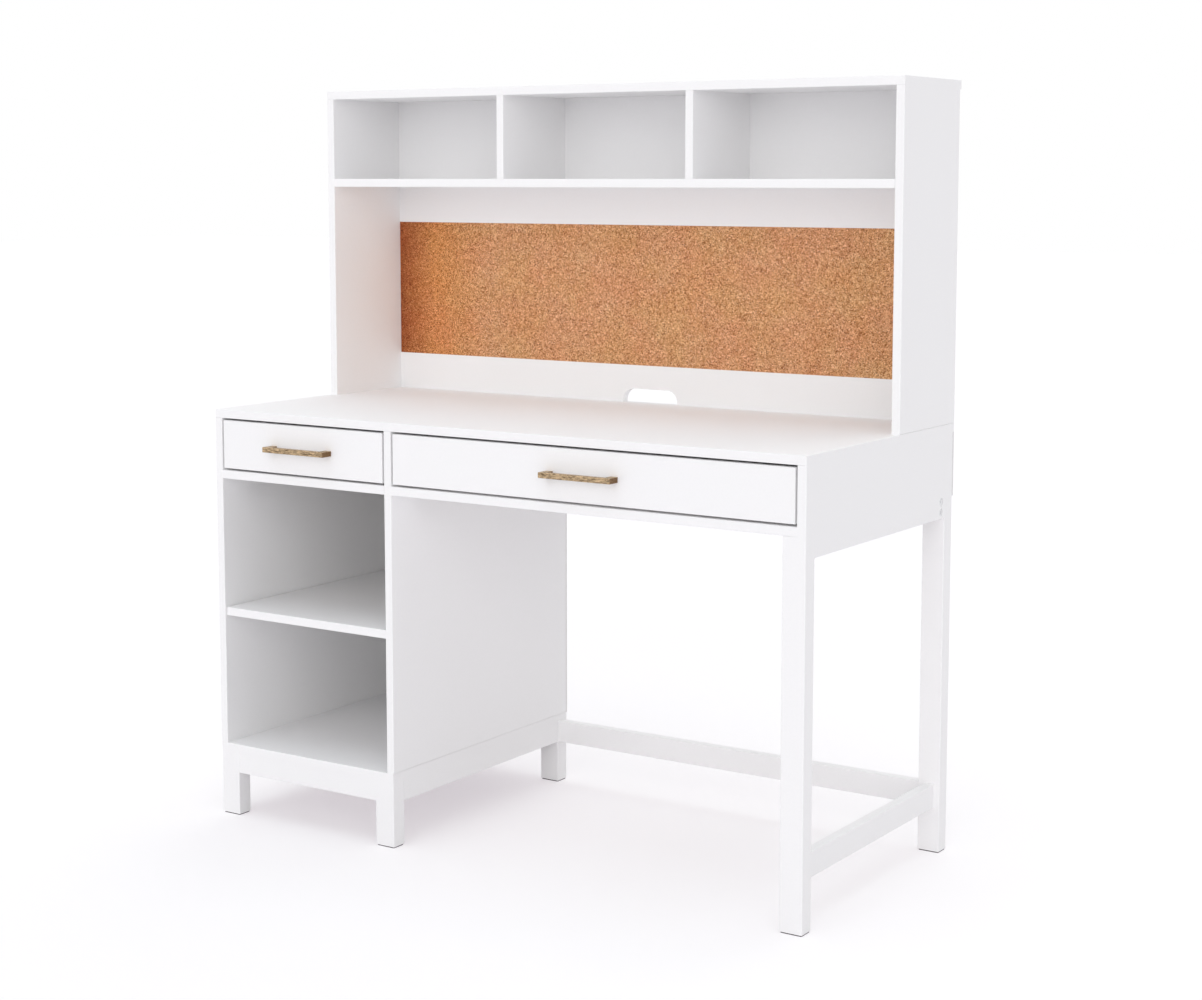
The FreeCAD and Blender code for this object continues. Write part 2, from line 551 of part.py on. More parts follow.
def make_leg_bolts():
    """Bolts through the back leg into round nuts, two in the side apron and two in the side stretcher.

    The apron's nuts lie in its outer face and the stretcher's in its inner face."""
    nuts = []
    bolts = []
    nut_y = BACK_LEG_FRONT - CAM_NUT_FROM_LEG
    apron_low = SIDE_APRON_BOTTOM + CAM_NUT_FROM_EDGE + CAM / 2
    stretcher_low = (BASE_RAIL_BOTTOM + STRETCHER_TOP - CAM_NUT_PITCH) / 2
    joints = [(RIGHT, X_AXIS * -1, (RIGHT + RIGHT_IN) / 2, apron_low),
              (LEG_MIDDLE_X - STRETCHER_THICKNESS / 2, X_AXIS, LEG_MIDDLE_X, stretcher_low)]
    for face_x, inward, bolt_x, low in joints:
        for z in (low, low + CAM_NUT_PITCH):
            bolt = rod(LEG_BOLT, (bolt_x, nut_y, z), PANEL_BACK - nut_y, Y_AXIS)
            head = rod(LEG_BOLT_HEAD, (bolt_x, PANEL_BACK, z), LEG_BOLT_HEAD_HEIGHT, Y_AXIS)
            bolt = bolt.fuse(head).removeSplitter().Solids[0]
            nut = rod(CAM, (face_x + inward.x * CAM_NUT_SINK, nut_y, z), CAM_NUT_LENGTH, inward)
            hole = rod(CAM, (face_x, nut_y, z), CAM_NUT_SINK + CAM_NUT_LENGTH, inward)
            sink([hole], ["side_apron", "side_stretcher"])
            nuts.append(nut.cut(bolt))
            bolts.append(bolt)
    add("leg_cam_nuts", *nuts)
    add("leg_bolts", *bolts)
    sink(bolts, ["side_apron", "side_stretcher", "back_leg"])


def back_screw(x, z, face_y):
    shank = rod(BACK_SCREW, (x, face_y - BACK_SCREW_LENGTH, z), BACK_SCREW_LENGTH, Y_AXIS)
    head = rod(BACK_SCREW_HEAD, (x, face_y, z), BACK_SCREW_HEAD_HEIGHT, Y_AXIS)
    return shank.fuse(head).removeSplitter().Solids[0]


def make_back_screws():
    screws = []
    steps = BACK_SCREW_ROW - 1
    low = FLOOR_TOP + BACK_SCREW_MARGIN
    rise = (TOP_UNDER - BACK_SCREW_MARGIN - low) / steps
    for x in ((LEFT + LEFT_IN) / 2, (MIDDLE_L + MIDDLE_R) / 2):
        screws += [back_screw(x, low + i * rise, BACK) for i in range(BACK_SCREW_ROW)]
    low_x = MIDDLE_R + BACK_SCREW_MARGIN
    pitch = (LEG_IN - BACK_SCREW_MARGIN - low_x) / steps
    for z in (RAIL_BOTTOM + PANEL, TOP_UNDER - PANEL):
        screws += [back_screw(low_x + i * pitch, z, BACK) for i in range(BACK_SCREW_ROW)]
        screws.append(back_screw(LEG_MIDDLE_X, z, BACK))
    add("back_panel_screws", *screws)
    sink(screws, ["left_side_panel", "middle_panel", "kneehole_back_apron", "back_leg", "pedestal_back_panel",
                  "kneehole_back_panel"])


def make_hutch_plates():
    """Steel plates that tie the hutch's back to the desk top's back edge."""
    plates = []
    screws = []
    desk_z = DESK_HEIGHT - PANEL / 2
    bottom = desk_z - (PLATE_HEIGHT - PLATE_SCREW_SPACING) / 2
    for centre in (-PLATE_X, PLATE_X):
        plate = board((centre - PLATE_WIDTH / 2, centre + PLATE_WIDTH / 2), (BACK, BACK + PLATE_STEEL),
                      (bottom, bottom + PLATE_HEIGHT), "LT RT LD RD", PLATE_CORNER)
        for x in (centre - PLATE_SCREW_SPACING / 2, centre + PLATE_SCREW_SPACING / 2):
            for z in (desk_z, desk_z + PLATE_SCREW_SPACING):
                screws.append(back_screw(x, z, BACK + PLATE_STEEL))
        plates.append(plate)
    add("hutch_plates", *plates)
    add("hutch_plate_screws", *screws)
    sink(screws, ["hutch_plates", "hutch_back_panel", "desk_top"])


# ---------------------------------------------------------------- build and write
make_case()
make_shelf()
make_base()
make_leg_frame()
make_glides()
make_drawers()
make_hutch()
make_shadow_gaps()
make_dowels()
make_cams()
make_leg_bolts()
make_back_screws()
make_hutch_plates()

os.makedirs("parts", exist_ok=True)
for name, solids in parts.items():
    shape = solids[0] if len(solids) == 1 else Part.makeCompound(solids)
    shape.exportStep("parts/" + name + ".step")
print(len(parts), "nodes", sum(len(solids) for solids in parts.values()), "solids")
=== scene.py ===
import json
import math

import bmesh
import bpy
from mathutils import Matrix, Vector


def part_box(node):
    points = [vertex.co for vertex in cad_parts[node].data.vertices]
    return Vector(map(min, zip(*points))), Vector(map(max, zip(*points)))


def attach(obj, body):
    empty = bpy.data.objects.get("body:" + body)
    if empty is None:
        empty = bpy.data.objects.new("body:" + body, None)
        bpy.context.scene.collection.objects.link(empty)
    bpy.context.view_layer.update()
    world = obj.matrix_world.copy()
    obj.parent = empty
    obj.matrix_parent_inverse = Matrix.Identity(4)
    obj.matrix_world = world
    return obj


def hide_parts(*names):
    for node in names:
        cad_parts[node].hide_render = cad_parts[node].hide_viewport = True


# Looks of a white student desk with a hutch. Metres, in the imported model's own frame:
# +X right, +Y to the back, +Z up, the origin on the floor under the middle of the desk.

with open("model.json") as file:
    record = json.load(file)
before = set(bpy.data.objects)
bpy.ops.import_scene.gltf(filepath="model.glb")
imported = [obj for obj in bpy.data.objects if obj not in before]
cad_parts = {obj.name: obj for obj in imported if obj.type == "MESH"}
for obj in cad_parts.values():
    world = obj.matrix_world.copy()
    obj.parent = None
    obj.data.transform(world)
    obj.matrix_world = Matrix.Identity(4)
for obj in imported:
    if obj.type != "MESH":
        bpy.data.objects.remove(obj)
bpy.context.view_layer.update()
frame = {"nodes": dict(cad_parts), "record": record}

DRAWERS = ("small_drawer", "wide_drawer")
RIGHT, LEFT, BACKWARD = (1, 0, 0), (-1, 0, 0), (0, 1, 0)

# small round pieces
ROLL_STEP = 0.9             # radians that each screw or disc is turned beyond the one before
KNEE_HEIGHT = 0.3           # the leg nuts above it face right, those below it left
PEDESTAL_MIDDLE = -0.4      # the shelf pins left of it face right, the others left
ARC_STEPS = 6               # straight lines in a quarter of a circle
SHARP_EDGE = 35             # degrees; a larger angle between two faces stays a sharp edge

# screws and bolts, as (radius of the shank, height of the head)
SMALL_SCREW = (0.0015, 0.0014)
PULL_SCREW = (0.0020, 0.0025)
LEG_BOLT = (0.0030, 0.0035)

# their heads, as shares of the head's radius or height
PAN_CROWN, BUTTON_CROWN = 0.35, 0.75        # how much of the height is rounded
HEAD_SHOULDER, HEAD_FLAT = 0.62, 0.5        # radii where the rounding ends and where the flat top starts
CROSS_REACH, CROSS_HALF_WIDTH, CROSS_DEPTH = 0.5, 0.11, 0.8
CROSS_TAPER = 0.45          # the cutter's lower end next to its upper end
SOCKET_RADIUS, SOCKET_DEPTH = 0.36, 0.75

# their pointed ends, as shares of the shank's radius
TIP_RADIUS, TIP_BLUNT, TIP_LENGTH = 0.55, 0.7, 2

# cams and leg nuts; slots are (half size along X, along Y, depth), the first two as shares of the radius
CAM_SLOTS, CAM_DISH = [(0.7, 0.15, 0.003), (0.15, 0.48, 0.0026)], 0.0006
LEG_NUT_SLOTS, LEG_NUT_DISH = [(0.6, 0.1, 0.0012)], 0.0002
SLOT_TAPER = 0.8            # the cutter's lower end next to its upper end
CUT_ABOVE = 0.001           # how far the cutters stand out of the face
DOT_DEPTH = 0.0006          # below the dish
DOT_CORNERS = 12

# their edges and the dot, as shares of the radius
BACK_RADIUS, BACK_CHAMFER = 0.94, 0.06
FACE_RADIUS, FACE_CHAMFER, RIM_INSIDE = 0.95, 0.07, 0.86
DOT_RIGHT, DOT_UP, DOT_RADIUS = 0.55, 0.42, 0.09

# shelf pins
PIN_NOSE, PIN_END, PIN_NECK = 0.7, 0.8, 0.88    # shares of the radius: rounding, end and groove
PIN_GROOVE = 0.0006         # half the groove's width
PIN_AROUND = 24

# camera
CAMERA_PLACE = (2.1581, -3.1691, 1.1840)
CAMERA_AZIMUTH = 33.458     # degrees to the left of +Y
CAMERA_PITCH = 6.274        # degrees below the horizon
CAMERA_LENS = 64.588        # millimetres, for a sensor 36 mm wide
CAMERA_SHIFT_Y = -0.07      # picture widths

# drawer runners; holes are (place along the member from its front, half length of a slot, radius)
RUNNER_STEEL = 0.0012
RUNNER_BEND, RUNNER_LIP = 1.6, 0.9  # outer radius of a bend and size of a lip, in steel thicknesses
DRILL_REACH = 0.004         # to both sides of the web's back
OUTER_HOLES = [(0.035, 0, 0.0022), (0.060, 0.004, 0.0022), (0.150, 0, 0.0022), (0.185, 0.006, 0.0035),
               (0.262, 0, 0.0022), (0.290, 0.004, 0.0022), (0.365, 0, 0.0022)]
MIDDLE_HOLES = [(0.030, 0.008, 0.0030), (0.200, 0.012, 0.0040), (0.370, 0.008, 0.0030)]
INNER_HOLES = [(0.030, 0, 0.0022), (0.052, 0.004, 0.0022), (0.128, 0, 0.0022), (0.200, 0.010, 0.0040),
               (0.272, 0, 0.0022), (0.340, 0.004, 0.0022), (0.368, 0, 0.0022)]

# light
SKY_LEVEL = 0.55            # what the world gives to diffuse rays
SKY_SEEN = 1.0              # what the eye and shiny things see of it
SUN_SPREAD = 60.0           # degrees across; makes every shadow soft
# each: name, degrees round from the desk's front to its right, elevation, irradiance, colour
SUNS = [
    ("overhead", 0, 85, 0.87, (0.93, 1.0, 1.07)),
    ("front", 0, 10, 0.51, (1.0, 1.0, 1.0)),
    ("front_right", 35, 12, 0.68, (1.0, 1.0, 1.0)),
    ("behind", 180, 45, 0.45, (1.0, 1.0, 1.0)),
]

# floor
FLOOR_SIZE = 60.0
FLOOR_COLOR = (0.88, 0.85, 0.87)    # what the floor throws back on the desk
FLOOR_SEEN = (1.05, 1.10, 1.06)     # its colour to the eye, under the same light
FLOOR_GLOW = (1.0, 0.90, 0.975)
FLOOR_GLOW_SHARE = 0.436            # how much of the floor to the eye is this glow

# colours, linear
PAINT = (0.950, 0.944, 0.947)
BACK_BOARD = (0.80, 0.79, 0.785)
BOX_BOARD = (0.79, 0.762, 0.735)
CORK = (0.65, 0.322, 0.150)
CORK_LARGE, CORK_SMALL = 400, 700   # granules to the metre
CORK_TONES = [(0.0, 0.22), (0.1, 0.48), (0.3, 0.84), (0.6, 1.02), (0.85, 1.28), (1.0, 1.6)]  # shares of CORK
CORK_SPREAD = (1.0, 1.55, 2.1)      # how much more a granule's tone changes green and blue than red
CORK_CLOUDS = [(0.3, (1.0, 0.93, 0.88)), (0.7, (1.0, 1.03, 1.05))]
CORK_HUES = [(0.38, (1.012, 0.985, 1.02)), (0.62, (0.99, 1.018, 0.95))]
CORK_SHADE_REACH = 0.22            # how far from its left end the cork's colour carries painted shade, darker and redder
CORK_PAINTED_SHADE = [(0.0, (0.54, 0.29, 0.18)), (0.4, (0.98, 0.79, 0.57)), (1.0, (1.0, 1.0, 1.0))]
BRASS = (0.59, 0.43, 0.265)
BRASS_END = (0.19, 0.105, 0.048)
BRASS_DARK = (0.10, 0.062, 0.03)
ZINC = (0.76, 0.76, 0.77)
GLIDE = (0.02, 0.02, 0.02)
BEECH = (0.60, 0.40, 0.22)
BEECH_DARK = (0.42, 0.25, 0.12)


# ---------------------------------------------------------------- node helpers
class Surface:
    """A material with one Principled shader, and short ways to add its procedural nodes."""

    def __init__(self, name, color, roughness, metallic=0.0):
        self.material = bpy.data.materials.new(name)
        self.material.use_nodes = True
        self.tree = self.material.node_tree
        self.shader = self.tree.nodes["Principled BSDF"]
        self.shader.inputs["Base Color"].default_value = (*color, 1)
        self.shader.inputs["Roughness"].default_value = roughness
        self.shader.inputs["Metallic"].default_value = metallic
        self.coordinates = self.add("ShaderNodeTexCoord")
        self.place = self.coordinates.outputs["Object"]
        self.normal = None

    def add(self, kind, **settings):
        node = self.tree.nodes.new(kind)
        for name, value in settings.items():
            setattr(node, name, value)
        return node

    def link(self, output, target):
        self.tree.links.new(output, target)

    def stretched(self, scale):
        """Coordinates that draw a pattern out along each axis whose scale is below 1."""
        mapping = self.add("ShaderNodeMapping")
        mapping.inputs["Scale"].default_value = scale
        self.link(self.place, mapping.inputs["Vector"])
        return mapping.outputs["Vector"]

    def noise(self, scale, detail, roughness=0.5, place=None):
        """A number from 0 to 1 in soft clouds, about scale of them to the metre."""
        node = self.add("ShaderNodeTexNoise")
        node.inputs["Scale"].default_value = scale
        node.inputs["Detail"].default_value = detail
        node.inputs["Roughness"].default_value = roughness
        self.link(place or self.place, node.inputs["Vector"])
        return node.outputs["Fac"]

    def cells(self, scale, output="Color"):
        """Each cell's own colour or the distance to its centre, with about scale cells to the metre."""
        node = self.add("ShaderNodeTexVoronoi")
        node.inputs["Scale"].default_value = scale
        self.link(self.place, node.inputs["Vector"])
        return node.outputs[output]

    def channel(self, color, name="Red"):
        node = self.add("ShaderNodeSeparateColor")
        self.link(color, node.inputs["Color"])
        return node.outputs[name]

    def facing_along(self, axis):
        """1 where the surface faces along X, Y or Z, and 0 where it lies along it."""
        split = self.add("ShaderNodeSeparateXYZ")
        self.link(self.coordinates.outputs["Normal"], split.inputs["Vector"])
        size = self.add("ShaderNodeMath", operation="ABSOLUTE")
        self.link(split.outputs[axis], size.inputs[0])
        return size.outputs["Value"]

    def ramp(self, factor, stops):
        """stops are (position, colour) pairs."""
        node = self.add("ShaderNodeValToRGB")
        elements = node.color_ramp.elements
        while len(elements) < len(stops):
            elements.new(1.0)
        for element, (position, color) in zip(elements, stops):
            element.position = position
            element.color = (*color, 1)
        self.link(factor, node.inputs["Fac"])
        return node.outputs["Color"]

    def spread(self, factor, low, high, start=0.3, end=0.7):
        """A number that runs from low to high as factor runs from start to end."""
        node = self.add("ShaderNodeMapRange")
        for name, value in zip(("From Min", "From Max", "To Min", "To Max"), (start, end, low, high)):
            node.inputs[name].default_value = value
        self.link(factor, node.inputs["Value"])
        return node.outputs["Result"]

    def mix(self, factor, first, second, how="MIX"):
        """Two colours mixed; factor is a number or an output."""
        node = self.add("ShaderNodeMix", data_type="RGBA", blend_type=how)
        if isinstance(factor, float):
            node.inputs["Factor"].default_value = factor
        else:
            self.link(factor, node.inputs["Factor"])
        for socket, color in ((node.inputs["A"], first), (node.inputs["B"], second)):
            if isinstance(color, tuple):
                socket.default_value = (*color, 1)
            else:
                self.link(color, socket)
        return node.outputs["Result"]

    def bump(self, height, depth, strength):
        """Relief from a height of 0 to 1, added to any relief before it; depth is in metres."""
        node = self.add("ShaderNodeBump")
        node.inputs["Distance"].default_value = depth
        node.inputs["Strength"].default_value = strength
        self.link(height, node.inputs["Height"])
        if self.normal:
            self.link(self.normal, node.inputs["Normal"])
        self.normal = node.outputs["Normal"]
        self.link(self.normal, self.shader.inputs["Normal"])

    def color(self, output):
        self.link(output, self.shader.inputs["Base Color"])

    def roughness(self, output):
        self.link(output, self.shader.inputs["Roughness"])


def shade(color, share):
    return tuple(channel * share for channel in color)


# ---------------------------------------------------------------- materials
def white_paint():
    """Low-sheen paint on smooth board: a sprayed skin of fine orange peel, with slight changes of sheen."""
    paint = Surface("white_paint", PAINT, 0.58)
    paint.shader.inputs["Specular IOR Level"].default_value = 0.15
    fibres = paint.noise(260, 4, 0.6)
    paint.color(paint.ramp(fibres, [(0.3, shade(PAINT, 0.988)), (0.7, shade(PAINT, 1.006))]))
    paint.roughness(paint.spread(paint.noise(45, 4), 0.53, 0.63))
    paint.bump(paint.noise(420, 3), 0.0001, 0.3)
    paint.bump(paint.noise(1400, 2), 0.00003, 0.3)
    return paint.material


def thin_back_board():
    """Hardboard with a matt white foil: fibres that show through and a fine screen texture."""
    board = Surface("thin_back_board", BACK_BOARD, 0.72)
    fibres = board.noise(160, 5, 0.6, board.stretched((1, 1, 0.35)))
    board.color(board.ramp(fibres, [(0.3, shade(BACK_BOARD, 0.95)), (0.7, shade(BACK_BOARD, 1.03))]))
    board.roughness(board.spread(board.noise(40, 3), 0.65, 0.8))
    board.bump(board.noise(650, 4), 0.00025, 0.5)
    return board.material


def drawer_box_board():
    """Particle board in a matt foil with a faint printed grain along each board."""
    board = Surface("drawer_box_board", BOX_BOARD, 0.55)
    lengthwise = board.noise(95, 6, 0.62, board.stretched((1, 0.07, 1)))
    crosswise = board.noise(95, 6, 0.62, board.stretched((0.07, 1, 1)))
    across = board.spread(board.facing_along("Y"), 0.0, 1.0, 0.4, 0.6)
    grain = board.mix(across, lengthwise, crosswise)
    stops = [(0.25, shade(BOX_BOARD, 0.90)), (0.5, BOX_BOARD), (0.75, shade(BOX_BOARD, 1.05))]
    board.color(board.ramp(grain, stops))
    board.roughness(board.spread(grain, 0.48, 0.62))
    board.bump(grain, 0.00015, 0.5)
    return board.material


def cork():
    """Pressed cork granules of two sizes, with dark bark crumbs, slow pale, golden and rosy clouds, and
    painted shade that darkens and reddens its left end.
    """
    sheet = Surface("cork", CORK, 0.88)
    sheet.shader.inputs["Specular IOR Level"].default_value = 0.25
    tones = []
    for stop, share in CORK_TONES:
        tones.append((stop, tuple(level * share ** power for level, power in zip(CORK, CORK_SPREAD))))
    large = sheet.ramp(sheet.channel(sheet.cells(CORK_LARGE)), tones)
    small = sheet.ramp(sheet.channel(sheet.cells(CORK_SMALL), "Green"), tones)
    base = sheet.mix(sheet.spread(sheet.noise(700, 2), 0.0, 1.0, 0.4, 0.6), large, small)
    base = sheet.mix(1.0, base, sheet.ramp(sheet.noise(16, 4, 0.6), CORK_CLOUDS), "MULTIPLY")
    base = sheet.mix(1.0, base, sheet.ramp(sheet.noise(10, 4, 0.6), CORK_HUES), "MULTIPLY")
    # painted shade: the cork's colour is darkened and reddened towards its left end, where the hutch's left
    # side shades it
    rightward = sheet.add("ShaderNodeSeparateXYZ")
    sheet.link(sheet.place, rightward.inputs["Vector"])
    left_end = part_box("cork_board")[0][0]
    painted_shade = sheet.spread(rightward.outputs["X"], 0.0, 1.0, left_end, left_end + CORK_SHADE_REACH)
    sheet.color(sheet.mix(1.0, base, sheet.ramp(painted_shade, CORK_PAINTED_SHADE), "MULTIPLY"))
    sheet.bump(sheet.cells(CORK_LARGE, "Distance"), 0.0004, 0.8)
    sheet.bump(sheet.noise(900, 3), 0.0003, 0.5)
    return sheet.material


def antique_brass():
    """Brass rubbed along its length, with dark patina left in streaks and in flecks, and darker, redder end
    faces.
    """
    brass = Surface("antique_brass", BRASS, 0.42, 1.0)
    along = brass.stretched((0.16, 1, 1))
    streaks = brass.noise(620, 5, 0.7, along)
    stops = [(0.36, BRASS_DARK), (0.45, shade(BRASS, 0.6)), (0.56, BRASS), (0.72, shade(BRASS, 1.3))]
    worn = brass.ramp(streaks, stops)
    flecks = brass.spread(brass.noise(190, 4, 0.65), 0.0, 0.8, 0.5, 0.66)
    worn = brass.mix(flecks, worn, shade(BRASS, 0.4))
    # the faces that point along X, the pull's ends, are made darker and redder
    ends = brass.spread(brass.facing_along("X"), 0.0, 0.85, 0.5, 0.95)
    brass.color(brass.mix(ends, worn, BRASS_END))
    brass.roughness(brass.spread(streaks, 0.62, 0.34))
    brass.bump(streaks, 0.0002, 0.5)
    brass.bump(brass.noise(1500, 2, 0.5, along), 0.00005, 0.4)
    return brass.material


def zinc_steel():
    """Bright zinc plate: spangle, fine rolling lines and small dull spots."""
    steel = Surface("zinc_steel", ZINC, 0.32, 1.0)
    spangle = steel.cells(210)
    steel.color(steel.ramp(spangle, [(0.2, shade(ZINC, 0.93)), (0.8, shade(ZINC, 1.05))]))
    lines = steel.noise(900, 3, 0.5, steel.stretched((1, 0.03, 1)))
    steel.roughness(steel.spread(lines, 0.24, 0.42))
    steel.bump(lines, 0.00004, 0.5)
    steel.bump(steel.noise(240, 2), 0.0001, 0.25)
    return steel.material


def glide_plastic():
    """Moulded plastic with a spark-eroded grain, scuffed lighter in places."""
    plastic = Surface("glide_plastic", GLIDE, 0.6)
    scuffs = plastic.noise(300, 4, 0.6)
    plastic.color(plastic.ramp(scuffs, [(0.45, GLIDE), (0.8, shade(GLIDE, 4.0))]))
    plastic.roughness(plastic.spread(scuffs, 0.5, 0.75))
    plastic.bump(plastic.noise(2500, 2), 0.00008, 0.5)
    return plastic.material


def beech_dowel():
    """Bare beech with short rays along the dowel."""
    beech = Surface("beech_dowel", BEECH, 0.65)
    rays = beech.noise(1400, 4, 0.6, beech.stretched((1, 1, 0.15)))
    beech.color(beech.ramp(rays, [(0.35, BEECH_DARK), (0.6, BEECH)]))
    beech.bump(rays, 0.0001, 0.5)
    return beech.material


def make_materials():
    makers = [white_paint, thin_back_board, drawer_box_board, cork, antique_brass, zinc_steel, glide_plastic,
              beech_dowel]
    return {maker.__name__: maker() for maker in makers}


def dress_cad_nodes(materials):
    for part in frame["record"]["subparts"]:
        node = frame["nodes"][part["node"]]
        material = materials[part["material_slot"]]
        for slot in node.material_slots:
            slot.material = material


# ---------------------------------------------------------------- solids of a CAD node
def solid_boxes(name):
    """(lowest, highest) corners of each separate solid in a CAD node."""
    mesh = bmesh.new()
    mesh.from_mesh(frame["nodes"][name].data)
    bmesh.ops.remove_doubles(mesh, verts=mesh.verts, dist=1e-6)
    boxes = []
    left = set(mesh.verts)
    while left:
        island = [left.pop()]
        for vert in island:
            for edge in vert.link_edges:
                other = edge.other_vert(vert)
                if other in left:
                    left.discard(other)
                    island.append(other)
        low = Vector(map(min, zip(*[vert.co for vert in island])))
        high = Vector(map(max, zip(*[vert.co for vert in island])))
        boxes.append((low, high))
    mesh.free()
    return sorted(boxes, key=lambda box: tuple(box[0]))


# ---------------------------------------------------------------- small solids
def turned(profile, around=40):
    """A solid turned about Z from (radius, height) points; its first and last points are on the axis."""
    mesh = bmesh.new()
    rings = []
    for radius, height in profile:
        if radius == 0:
            rings.append([mesh.verts.new((0, 0, height))])
            continue
        angles = [2 * math.pi * step / around for step in range(around)]
        rings.append([mesh.verts.new((radius * math.cos(a), radius * math.sin(a), height)) for a in angles])
    for lower, upper in zip(rings, rings[1:]):
        for i in range(around):
            j = (i + 1) % around
            corners = [ring[k % len(ring)] for ring, k in ((lower, i), (lower, j), (upper, j), (upper, i))]
            mesh.faces.new(dict.fromkeys(corners))
    bmesh.ops.recalc_face_normals(mesh, faces=mesh.faces)
    return as_mesh(mesh)


def prism(outline, low, high, taper=1.0):
    """A prism along Z from a flat outline; taper scales its lower end."""
    mesh = bmesh.new()
    bottom = [mesh.verts.new((x * taper, y * taper, low)) for x, y in outline]
    top = [mesh.verts.new((x, y, high)) for x, y in outline]
    mesh.faces.new(bottom[::-1])
    mesh.faces.new(top)
    count = len(outline)
    for i in range(count):
        mesh.faces.new((bottom[i], bottom[(i + 1) % count], top[(i + 1) % count], top[i]))
    bmesh.ops.recalc_face_normals(mesh, faces=mesh.faces)
    return as_mesh(mesh)


def as_mesh(mesh):
    data = bpy.data.meshes.new("scratch")
    mesh.to_mesh(data)
    mesh.free()
    return data


def carved(solid, cutters):
    """The solid's mesh with each cutter's mesh taken out."""
    scratch = [bpy.data.objects.new("scratch", data) for data in [solid, *cutters]]
    body = scratch[0]
    for item in scratch:
        bpy.context.scene.collection.objects.link(item)
    for cutter in scratch[1:]:
        modifier = body.modifiers.new("cut", "BOOLEAN")
        modifier.object = cutter
        modifier.solver = "EXACT"
    graph = bpy.context.evaluated_depsgraph_get()
    graph.update()
    result = bpy.data.meshes.new_from_object(body.evaluated_get(graph))
    for item in scratch:
        bpy.data.objects.remove(item)
    return result


def cross_outline(reach, half):
    """The outline of a cross whose arms reach from the centre and are 2 * half wide."""
    arm = [(reach, -half), (reach, half), (half, half)]
    points = []
    for turn in range(4):
        cosine, sine = round(math.cos(turn * math.pi / 2)), round(math.sin(turn * math.pi / 2))
        points += [(cosine * x - sine * y, sine * x + cosine * y) for x, y in arm]
    return points


def rectangle_outline(half_x, half_y):
    return [(-half_x, -half_y), (half_x, -half_y), (half_x, half_y), (-half_x, half_y)]


def ring_outline(radius, corners):
    angles = [2 * math.pi * i / corners for i in range(corners)]
    return [(radius * math.cos(a), radius * math.sin(a)) for a in angles]


def screw_profile(head, height, shank, length, crown):
    """A rounded head whose top is at 0, with its shank below it and a pointed end.

    head and shank are radii, length is the whole screw's and crown the rounded share of the head's height."""
    edge = height * crown
    points = [(0, -length), (shank * TIP_RADIUS, -length + shank * TIP_BLUNT)]
    points += [(shank, -length + shank * TIP_LENGTH), (shank, -height), (head, -height), (head, -edge)]
    for step in range(1, ARC_STEPS):
        angle = step / ARC_STEPS * math.pi / 2
        share = HEAD_SHOULDER + (1 - HEAD_SHOULDER) * math.cos(angle)
        points.append((head * share, -edge + edge * math.sin(angle)))
    return points + [(head * HEAD_FLAT, 0), (0, 0)]


def piece(name, body, slot, copies, materials, replaced):
    """One object from (mesh, matrix) copies that rides on a body in the place of a CAD node."""
    joined = bmesh.new()
    for data, matrix in copies:
        start = len(joined.verts)
        joined.from_mesh(data)
        joined.verts.ensure_lookup_table()
        bmesh.ops.transform(joined, matrix=matrix, verts=joined.verts[start:])
    for face in joined.faces:
        face.smooth = True
    for edge in joined.edges:
        edge.smooth = len(edge.link_faces) == 2 and edge.calc_face_angle(math.pi) < math.radians(SHARP_EDGE)
    data = as_mesh(joined)
    data.name = name
    item = bpy.data.objects.new(name, data)
    bpy.context.scene.collection.objects.link(item)
    data.materials.clear()
    data.materials.append(materials[slot])
    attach(item, body)
    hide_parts(replaced)


def facing(point, direction, roll):
    """The matrix that puts local +Z along direction at point, rolled about it."""
    turn = Vector(direction).to_track_quat("Z", "Y").to_matrix().to_4x4()
    return Matrix.Translation(Vector(point)) @ turn @ Matrix.Rotation(roll, 4, "Z")


def places(node, direction_of):
    """The matrix of each solid in a node, and the first solid's extents along X, Y and Z.

    direction_of takes a solid's lowest corner and gives the way its outer end faces. The matrix is at the
    middle of that end, with +Z along that way."""
    boxes = solid_boxes(node)
    matrices = []
    for number, (low, high) in enumerate(boxes):
        direction = Vector(direction_of(low))
        middle, half = (low + high) / 2, (high - low) / 2
        reach = sum(abs(a * b) for a, b in zip(direction, half))
        matrices.append(facing(middle + direction * reach, direction, number * ROLL_STEP))
    return matrices, [end - start for start, end in zip(*boxes[0])]


def cross_screws(name, node, body, shank, head_height, materials):
    """Pan-head screws with a cross recess in the place of a CAD node's plain ones."""
    matrices, (width, length, _) = places(node, lambda low: BACKWARD)
    head = width / 2
    plain = turned(screw_profile(head, head_height, shank, length, PAN_CROWN))
    cross = cross_outline(head * CROSS_REACH, head * CROSS_HALF_WIDTH)
    recess = prism(cross, -head_height * CROSS_DEPTH, head_height, CROSS_TAPER)
    screw = carved(plain, [recess])
    piece(name, body, "zinc_steel", [(screw, matrix) for matrix in matrices], materials, node)


def make_screws(materials):
    cross_screws("cross_screws_back", "back_panel_screws", "desk", *SMALL_SCREW, materials)
    cross_screws("cross_screws_plates", "hutch_plate_screws", "desk", *SMALL_SCREW, materials)
    for drawer in DRAWERS:
        cross_screws("cross_screws_" + drawer, drawer + "_pull_screws", drawer, *PULL_SCREW, materials)


def make_leg_bolts(materials):
    """Button-head bolts with a hexagon socket."""
    matrices, (width, length, _) = places("leg_bolts", lambda low: BACKWARD)
    head = width / 2
    shank, height = LEG_BOLT
    plain = turned(screw_profile(head, height, shank, length, BUTTON_CROWN))
    socket = prism(ring_outline(head * SOCKET_RADIUS, 6), -height * SOCKET_DEPTH, height)
    bolt = carved(plain, [socket])
    copies = [(bolt, matrix) for matrix in matrices]
    piece("socket_bolts", "desk", "zinc_steel", copies, materials, "leg_bolts")


